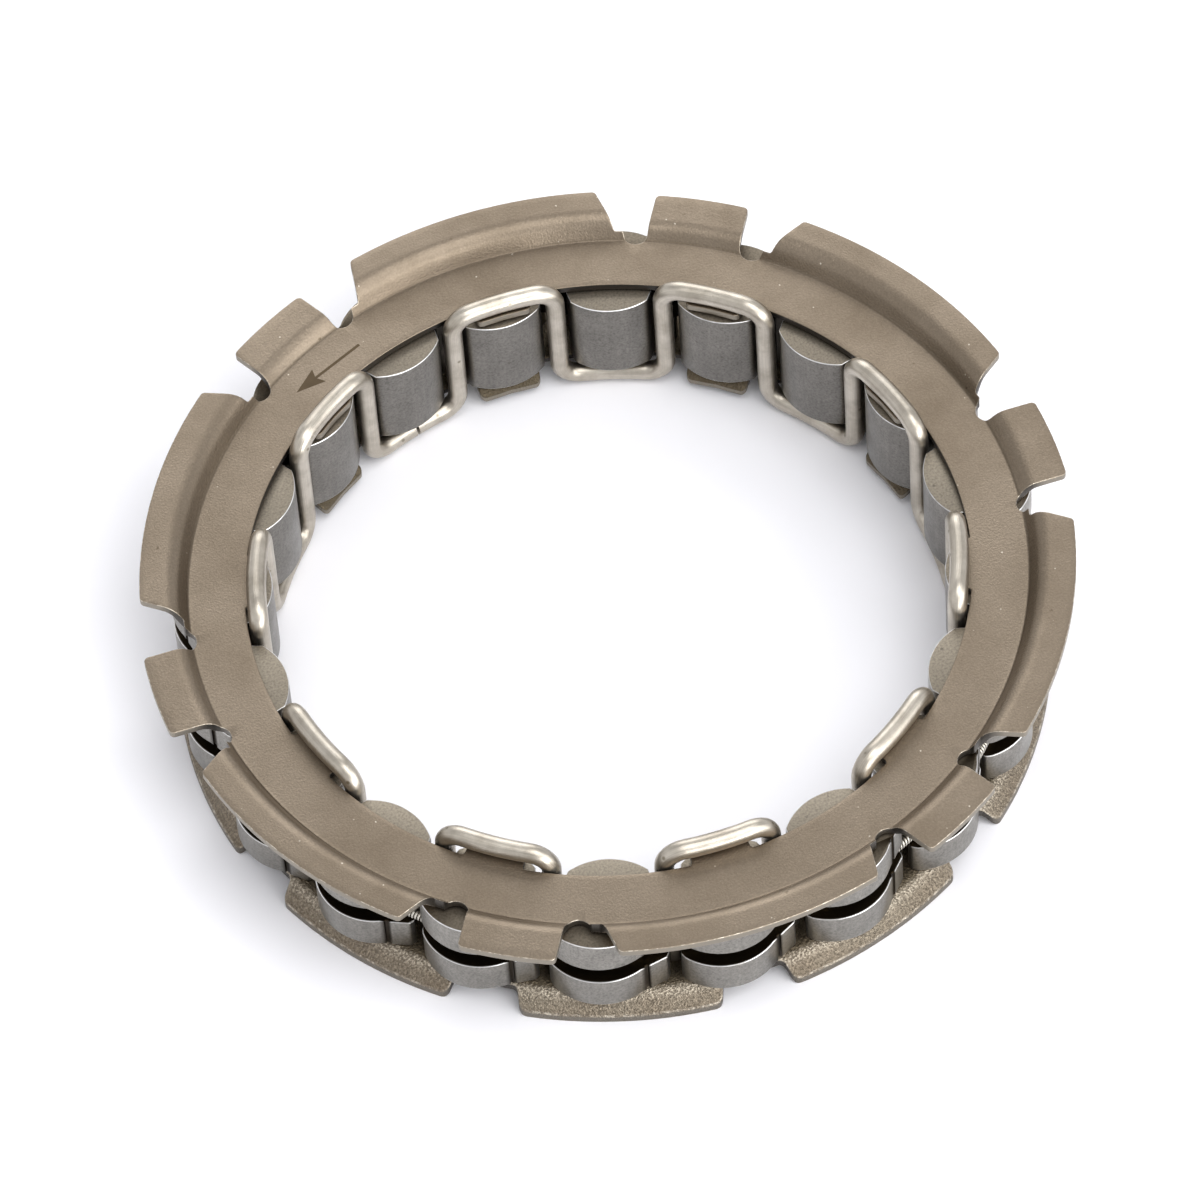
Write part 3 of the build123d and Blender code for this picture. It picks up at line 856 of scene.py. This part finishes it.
def plate_finish(name, film, depth, contrast, edge_highlight_reach):
    """Pressed carbon steel strip, case hardened and tumbled, with a grain of a given depth and contrast.

    Tempering leaves a thin straw to bronze film, and tumbling a matt grain of fine pits with a few darker
    handling spots, over which bright specks are painted as glints. A painted shade darkens the crease radius
    of the upper rim. A painted highlight runs along the lower rim where it rolls over, and painted shade
    darkens that rim inside of the roll and close to the floor. Sheared edges are grey and duller, keep their
    dark scale round the bore, which also carries painted shade there and on the relief notches' walls, and
    are rubbed bright in places where they turn over, partly wear and partly a painted highlight.
    """
    # Scales are cells per metre: clouds 9 mm wide, spots 4 mm and painted glints 2 mm apart, chips of 0.5
    # mm, and a grain of 0.2 mm, drawn coarser than the real one of about 0.05 mm so that it shows.
    material, tree, surface = shader(name, 1.0, 0.42)
    place = node(tree, "TexCoord", out="Object")
    cloud = node(tree, "TexNoise", Vector=place, Scale=110.0, Detail=5.0, Roughness=0.6)
    grain = node(tree, "TexNoise", Vector=place, Scale=5200.0, Detail=2.0, Roughness=0.6)
    aged = node(tree, "ValToRGB", stops=[(0.38, 0), (0.75, 1)], Fac=cloud)
    shades = [(0.32, 1 - 0.4 * contrast), (0.5, 1), (0.72, 1 + 0.6 * contrast)]
    shade = node(tree, "ValToRGB", stops=shades, Fac=grain)
    spots = specks(tree, place, grain, 260.0, 0.08, [(0.055, 0.55), (0.09, 0)])
    # Painted glints: bright specks in the colour that stand in for the grain catching the light.
    painted_glints = specks(tree, place, grain, 560.0, 0.12, [(0.082, 0.65), (0.11, 0)])
    # Painted shade: a dark line along the crease radius of the upper rim.
    crease = radius_share(tree, place, 0.0357, 0.0363)
    painted_crease_shade = node(tree, "ValToRGB", stops=[(0.25, 0), (0.5, 0.55), (0.8, 0)], Fac=crease)
    height = node(tree, "SeparateXYZ", out="Z", Vector=place)
    low = node(tree, "MapRange", Value=height, From_Min=0.003, From_Max=0.0026)
    reach = radius_share(tree, place, 0.034, 0.038)
    # Painted highlight: a bright sparkly band along the lower rim where it rolls over.
    painted_roll_highlight = node(tree, "ValToRGB", stops=[(0.48, 0), (0.6, 0.45), (0.66, 0.4), (0.76, 0)], Fac=reach)
    spark = node(tree, "ValToRGB", stops=[(0.46, 0.12), (0.62, 0.95)], Fac=grain)
    # Painted shade on the lower rim inside of its roll, near the sprags.
    inward = node(tree, "ValToRGB", stops=[(0.46, 0.75), (0.6, 0)], Fac=reach)
    # Painted shade on the lower rim close to the floor.
    foot = node(tree, "MapRange", Value=height, From_Min=0.0014, From_Max=0.0005, To_Max=0.45)
    # Partly dark scale and partly painted shade: cut edges darken round the bore, on the relief notches'
    # walls and, in part, on the bars.
    scale_and_shade_stops = [(0.07, 0), (0.13, 1), (0.23, 1), (0.45, 0.2), (0.6, 0.9), (0.68, 0.9), (0.78, 0)]
    scale = node(tree, "ValToRGB", stops=scale_and_shade_stops, Fac=radius_share(tree, place, 0.029, 0.041))
    cut = layered(tree, finish_colour("sheared"), (scale, finish_colour("dark_scale_and_shade")))
    sheared = node(tree, "Attribute", {"attribute_name": "sheared"}, "Fac")
    # Turned edges rubbed bright: partly wear, partly a painted highlight where they would catch the light.
    rubbed = node(tree, "Attribute", {"attribute_name": "rubbed"}, "Fac")
    chips = node(tree, "TexNoise", Vector=place, Scale=1900.0, Detail=4.0, Roughness=0.7)
    chips = node(tree, "ValToRGB", stops=[(0.48, 0.12), (0.64, 0.9)], Fac=chips)
    # Keeps the painted edge highlight off the bore's edge.
    outward = radius_share(tree, place, 0.0315, 0.0315 + 0.003 / edge_highlight_reach)
    tone = layered(
        tree,
        finish_colour(film),
        (aged, finish_colour("plate_dark")),
        (1.0, shade, "MULTIPLY"),
        (spots, linear("#4f4434")),
        (painted_glints, linear("#e2dacb")),
        (painted_crease_shade, linear("#4a4034")),
        (product(tree, inward, low), linear("#574e3e")),
        (product(tree, painted_roll_highlight, spark, low), linear("#e9dfcc")),
        (foot, linear("#574c3f")),
        (sheared, cut),
        (product(tree, rubbed, chips, outward), linear("#e6ddcd")),
    )
    rough = node(tree, "MapRange", Value=cloud, From_Min=0.3, From_Max=0.7, To_Min=0.38, To_Max=0.5)
    bump = node(tree, "Bump", Strength=1.0, Distance=depth, Height=grain)
    attach(tree, surface, Base_Color=tone, Roughness=rough, Normal=bump)
    return material


def sprag_finish():
    """Through-hardened bearing steel, drawn to profile, cut off and barrel polished.

    Cam faces are a dull hardened grey with faint lines along the shaft from drawing, darker on the inner
    cams as painted shade inside the ring. Edges are burnished and painted bright as a highlight, ends are
    warmer and grainy with painted shade where the plates cover them, and the spring slot and the line groove
    are painted near black as shade.
    """
    # Scales are cells per metre: lines 0.6 mm apart and 9 mm long, stains 3 mm wide, pits 2.4 mm apart, and
    # a grain of 0.2 mm, drawn coarser than the real one of about 0.05 mm so that it shows.
    material, tree, surface = shader("hardened_bearing_steel_barrel_polished", 1.0, 0.34)
    place = node(tree, "TexCoord", out="Object")
    stretch = node(tree, "Mapping", Vector=place, Scale=(1.0, 1.0, 0.06))
    lines = node(tree, "TexNoise", Vector=stretch, Scale=1800.0, Detail=3.0, Roughness=0.6)
    cloud = node(tree, "TexNoise", Vector=place, Scale=330.0, Detail=5.0, Roughness=0.65)
    grain = node(tree, "TexNoise", Vector=place, Scale=4800.0, Detail=2.0, Roughness=0.6)
    stain = node(tree, "ValToRGB", stops=[(0.35, 0), (0.7, 0.3)], Fac=cloud)
    faint = node(tree, "ValToRGB", stops=[(0.3, 0.86), (0.7, 1.1)], Fac=lines)
    facing = node(tree, "SeparateXYZ", out="Z", Vector=node(tree, "NewGeometry", out="Normal"))
    lift = node(tree, "Math", {"operation": "ABSOLUTE"}, _0=facing)
    end = node(tree, "ValToRGB", stops=[(0.93, 0), (0.99, 1)], Fac=lift)
    # Painted shade on the end faces where the plates cover them, outward from the bore.
    painted_end_shade_share = radius_share(tree, place, 0.0305, 0.0345)
    end_with_painted_shade = layered(tree, finish_colour("sprag_end"), (painted_end_shade_share, linear("#6e665a")))
    speck = node(tree, "ValToRGB", stops=[(0.32, 0.7), (0.5, 1), (0.72, 1.25)], Fac=grain)
    pits = specks(tree, place, grain, 420.0, 0.1, [(0.09, 0.6), (0.13, 0)])
    # Burnished edges painted near white: partly wear, partly a painted highlight.
    bright = node(tree, "Attribute", {"attribute_name": "burnished"}, "Fac")
    patchy = node(tree, "ValToRGB", stops=[(0.35, 0.35), (0.6, 1)], Fac=cloud)
    # Painted shade: the spring slot and the line groove are painted near black.
    inside = node(tree, "Attribute", {"attribute_name": "slot_depth"}, "Fac")
    tone = layered(
        tree,
        finish_colour("inner_cam"),
        # The inner cams' darker grey is painted shade inside the ring. The outer cams keep the lighter grey.
        (radius_share(tree, place, 0.031, 0.036), finish_colour("outer_cam")),
        (stain, linear("#5c5956")),
        (0.6, faint, "MULTIPLY"),
        (end, end_with_painted_shade),
        (0.8, speck, "MULTIPLY"),
        (pits, linear("#5a554f")),
        (product(tree, bright, patchy), finish_colour("burnished")),
        (inside, finish_colour("slot")),
    )
    rough = node(tree, "MapRange", Value=cloud, From_Min=0.3, From_Max=0.7, To_Min=0.3, To_Max=0.44)
    rough = node(tree, "Math", {"operation": "MAXIMUM"}, _0=rough, _1=product(tree, end, 0.46))
    ground = node(tree, "Math", {"operation": "SUBTRACT"}, _0=lines, _1=pits)
    bump = node(tree, "Bump", Strength=0.2, Distance=0.00004, Height=ground)
    attach(tree, surface, Base_Color=tone, Roughness=rough, Normal=bump)
    return material


def wire_finish():
    """Hard-drawn round wire, tumbled after forming.

    The die leaves fine lines along the wire, and tumbling a satin skin with a few nicks.
    """
    # Lines are 5 mm long and 0.09 mm apart, clouds 2.4 mm wide and nicks 2 mm apart.
    material, tree, surface = shader("hard_drawn_wire_tumbled", 1.0, 0.36)
    drawn = node(tree, "Mapping", Vector=node(tree, "TexCoord", out="UV"), Scale=(2.0, 60.0, 1.0))
    lines = node(tree, "TexNoise", Vector=drawn, Scale=1.0, Detail=3.0, Roughness=0.6)
    place = node(tree, "TexCoord", out="Object")
    cloud = node(tree, "TexNoise", Vector=place, Scale=420.0, Detail=5.0, Roughness=0.65)
    dull = node(tree, "ValToRGB", stops=[(0.38, 0), (0.7, 1)], Fac=cloud)
    faint = node(tree, "ValToRGB", stops=[(0.3, 0.8), (0.65, 1.08)], Fac=lines)
    nicks = specks(tree, place, cloud, 520.0, 0.12, [(0.1, 1), (0.17, 0)])
    tone = layered(
        tree,
        finish_colour("wire"),
        (dull, linear("#a69e91")),
        (0.7, faint, "MULTIPLY"),
        (nicks, linear("#8f8778")),
    )
    height = node(tree, "Math", {"operation": "SUBTRACT"}, _0=lines, _1=nicks)
    bump = node(tree, "Bump", Strength=0.35, Distance=0.00004, Height=height)
    attach(tree, surface, Base_Color=tone, Normal=bump)
    return material


def spring_finish():
    """Music wire, wound cold and left as drawn, a little brighter in clouds about 3 mm wide."""
    material, tree, surface = shader("music_wire_cold_wound", 1.0, 0.3)
    place = node(tree, "TexCoord", out="Object")
    cloud = node(tree, "TexNoise", Vector=place, Scale=300.0, Detail=3.0, Roughness=0.6)
    attach(tree, surface, Base_Color=layered(tree, finish_colour("spring"), (cloud, linear("#d0ccc2"))))
    return material


def etch_finish():
    """Acid-etched mark: a matt dark brown film in the strip, uneven every 0.7 mm."""
    material, tree, surface = shader("acid_etched_mark", 0.3, 0.6)
    place = node(tree, "TexCoord", out="Object")
    cloud = node(tree, "TexNoise", Vector=place, Scale=1500.0, Detail=3.0)
    attach(tree, surface, Base_Color=layered(tree, finish_colour("etch"), (cloud, linear("#54432c"))))
    return material


# Operators

class CLUTCH_OT_plates(bpy.types.Operator):
    """Builds the two cage plates, the bars between them and the etched arrow."""

    bl_idname = "clutch.plates"
    bl_label = "Build cage plates"

    def execute(self, context):
        finish = plate_finish("tempered_steel_strip_tumbled", "upper_plate", 0.00003, 0.2, 1.0)
        points, faces, marks = upper_plate_surface()
        upper = put_mesh("upper_plate_skin", points, faces, finish, marks=marks)
        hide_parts("upper_cage_plate")
        points, faces, marks = lower_plate_surface()
        grainy = plate_finish("tempered_steel_strip_barrelled", "lower_plate", 0.00018, 0.9, 0.35)
        lower = put_mesh("lower_plate_skin", points, faces, grainy, marks=marks)
        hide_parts("lower_cage_plate")
        points, faces = bar_surface()
        # The bars take the cut edges' colour, darkened by the scale and by painted shade.
        put_mesh("cage_bars", points, faces, finish, marks={"sheared": np.ones(len(points))})
        sunk = 0.004
        points, faces = arrow_surface(mm("upper_z") + mm("sheet") - sunk)
        put_mesh("arrow_mark", points, faces, etch_finish())
        return {"FINISHED"}


class CLUTCH_OT_sprags(bpy.types.Operator):
    """Builds the sprags, each on its own body."""

    bl_idname = "clutch.sprags"
    bl_label = "Build sprags"

    def execute(self, context):
        finish = sprag_finish()
        points, faces, marks = sprag_surface()
        for step in range(SPRAG_COUNT):
            name = f"sprag_{step + 1:02d}"
            skin, placed = f"{name}_skin", turned_points(points, FIRST_ANGLE + PITCH * step)
            piece = put_mesh(skin, placed, faces, finish, body=name, marks=marks, smooth_angle=35)
            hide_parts(name)
        return {"FINISHED"}


class CLUTCH_OT_wire(bpy.types.Operator):
    """Builds the serpentine retainer wire."""

    bl_idname = "clutch.wire"
    bl_label = "Build retainer wire"

    def execute(self, context):
        points, faces, uv = wire_surface()
        piece = put_mesh("retainer_wire_skin", points, faces, wire_finish(), uv=uv)
        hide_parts("retainer_wire")
        return {"FINISHED"}


class CLUTCH_OT_spring(bpy.types.Operator):
    """Builds the garter spring coil by coil."""

    bl_idname = "clutch.spring"
    bl_label = "Build garter spring"

    def execute(self, context):
        points, faces = spring_surface()
        piece = put_mesh("garter_spring_coils", points, faces, spring_finish(), smooth_angle=80)
        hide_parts("garter_spring")
        return {"FINISHED"}


class CLUTCH_OT_stage(bpy.types.Operator):
    """Sets the floor, the lights, the world and the camera."""

    bl_idname = "clutch.stage"
    bl_label = "Build studio"

    def execute(self, context):
        studio_floor()
        studio_lights()
        studio_camera()
        return {"FINISHED"}


def studio_floor():
    """White sweep under the clutch, which keeps its shadow."""
    size = 1.2
    corners = [(-size, -size, 0), (size, -size, 0), (size, size, 0), (-size, size, 0)]
    mesh = bpy.data.meshes.new("studio_floor")
    mesh.from_pydata(corners, [], [(0, 1, 2, 3)])
    floor = bpy.data.objects.new("studio_floor", mesh)
    bpy.context.scene.collection.objects.link(floor)
    material, _, surface = shader("studio_paper_matt", 0.0, 0.9)
    surface.inputs["Base Color"].default_value = finish_colour("floor")
    mesh.materials.append(material)


def studio_lights():
    """Large soft lamps, and a world as bright at the horizon as a white sweep is, and dimmer higher up."""
    world = bpy.data.worlds.new("studio_world")
    world.use_nodes = True
    tree = world.node_tree
    sky = node(tree, "SeparateXYZ", out="Z", Vector=node(tree, "TexCoord", out="Generated"))
    stops = [
        (0.0, (1.3, 1.3, 1.32)),
        (0.2, (0.9, 0.9, 0.92)),
        (0.5, (0.76, 0.76, 0.77)),
        (0.78, (0.5, 0.5, 0.51)),
        (1.0, (0.7, 0.7, 0.71)),
    ]
    attach(tree, tree.nodes["Background"], Color=node(tree, "ValToRGB", stops=stops, Fac=sky))
    bpy.context.scene.world = world
    for name, place, size, power in (
        ("key_soft_box", (0.15, -0.3, 0.92), 0.7, 5.0),
        ("fill_soft_box", (-0.6, -0.1, 0.6), 0.6, 0.4),
        ("back_soft_box", (0.15, 0.6, 0.42), 0.5, 1.8),
        ("right_soft_box", (0.62, -0.62, 0.4), 0.7, 4.5),
        ("front_soft_box", (0.2, -0.92, 0.22), 0.42, 3.5),
    ):
        data = bpy.data.lights.new(name, "AREA")
        data.shape = "SQUARE"
        data.size = size
        data.energy = power
        lamp = bpy.data.objects.new(name, data)
        lamp.location = place
        lamp.rotation_euler = (Vector((0, 0, 0)) - Vector(place)).to_track_quat("-Z", "Y").to_euler()
        bpy.context.scene.collection.objects.link(lamp)


def studio_camera():
    """Camera of the photograph: 54 degrees above the floor, long lens, turned 14 degrees round the clutch.

    It looks at a point at the height of plane, and stands aside by side and rise. Its lens is a focal
    length in pixels over the picture's width, times the sensor's width.
    """
    tilt, roll, spin = math.radians(54.36), math.radians(-4.53), math.radians(-14.23)
    distance, side, rise, plane = 0.72625, -0.00085, -0.00223, 0.01205
    back = Vector((0, -math.cos(tilt), math.sin(tilt)))
    right = Vector((1, 0, 0))
    up = Vector((0, math.sin(tilt), math.cos(tilt)))
    eye = back * distance + right * side + up * rise
    across = right * math.cos(roll) + up * math.sin(roll)
    above = up * math.cos(roll) - right * math.sin(roll)
    turn_matrix = Matrix.Rotation(spin, 4, "Z")
    axes = Matrix((across, above, back)).transposed().to_4x4()
    camera = bpy.data.cameras.new("photo_camera")
    focal, picture, sensor = 8493, 1200, 36
    camera.sensor_width = sensor
    camera.lens = focal / picture * sensor
    camera.clip_start = 0.01
    camera.clip_end = 20
    body = bpy.data.objects.new("photo_camera", camera)
    body.matrix_world = Matrix.Translation((0, 0, plane)) @ turn_matrix @ Matrix.Translation(eye) @ axes
    bpy.context.scene.collection.objects.link(body)
    bpy.context.scene.camera = body
    bpy.context.scene.view_settings.view_transform = "Standard"


class CLUTCH_PT_panel(bpy.types.Panel):
    """Lists the operators and the sizes and colours that they use."""

    bl_idname = "CLUTCH_PT_panel"
    bl_label = "Sprag Clutch"
    bl_space_type = "VIEW_3D"
    bl_region_type = "UI"
    bl_category = "Sprag Clutch"

    def draw(self, context):
        for operator in OPERATORS:
            self.layout.operator(operator.bl_idname)
        for group in (context.scene.clutch_sizes, context.scene.clutch_colours):
            for name in group.__annotations__:
                self.layout.prop(group, name)


OPERATORS = (CLUTCH_OT_plates, CLUTCH_OT_sprags, CLUTCH_OT_wire, CLUTCH_OT_spring, CLUTCH_OT_stage)
CLASSES = (ClutchSizes, ClutchColours, *OPERATORS, CLUTCH_PT_panel)


def register():
    for each in CLASSES:
        bpy.utils.register_class(each)
    bpy.types.Scene.clutch_sizes = bpy.props.PointerProperty(type=ClutchSizes)
    bpy.types.Scene.clutch_colours = bpy.props.PointerProperty(type=ClutchColours)


def unregister():
    del bpy.types.Scene.clutch_colours
    del bpy.types.Scene.clutch_sizes
    for each in reversed(CLASSES):
        bpy.utils.unregister_class(each)


def main():
    register()
    bpy.ops.clutch.plates()
    bpy.ops.clutch.sprags()
    bpy.ops.clutch.wire()
    bpy.ops.clutch.spring()
    bpy.ops.clutch.stage()
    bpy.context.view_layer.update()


if __name__ == "__main__":
    main()
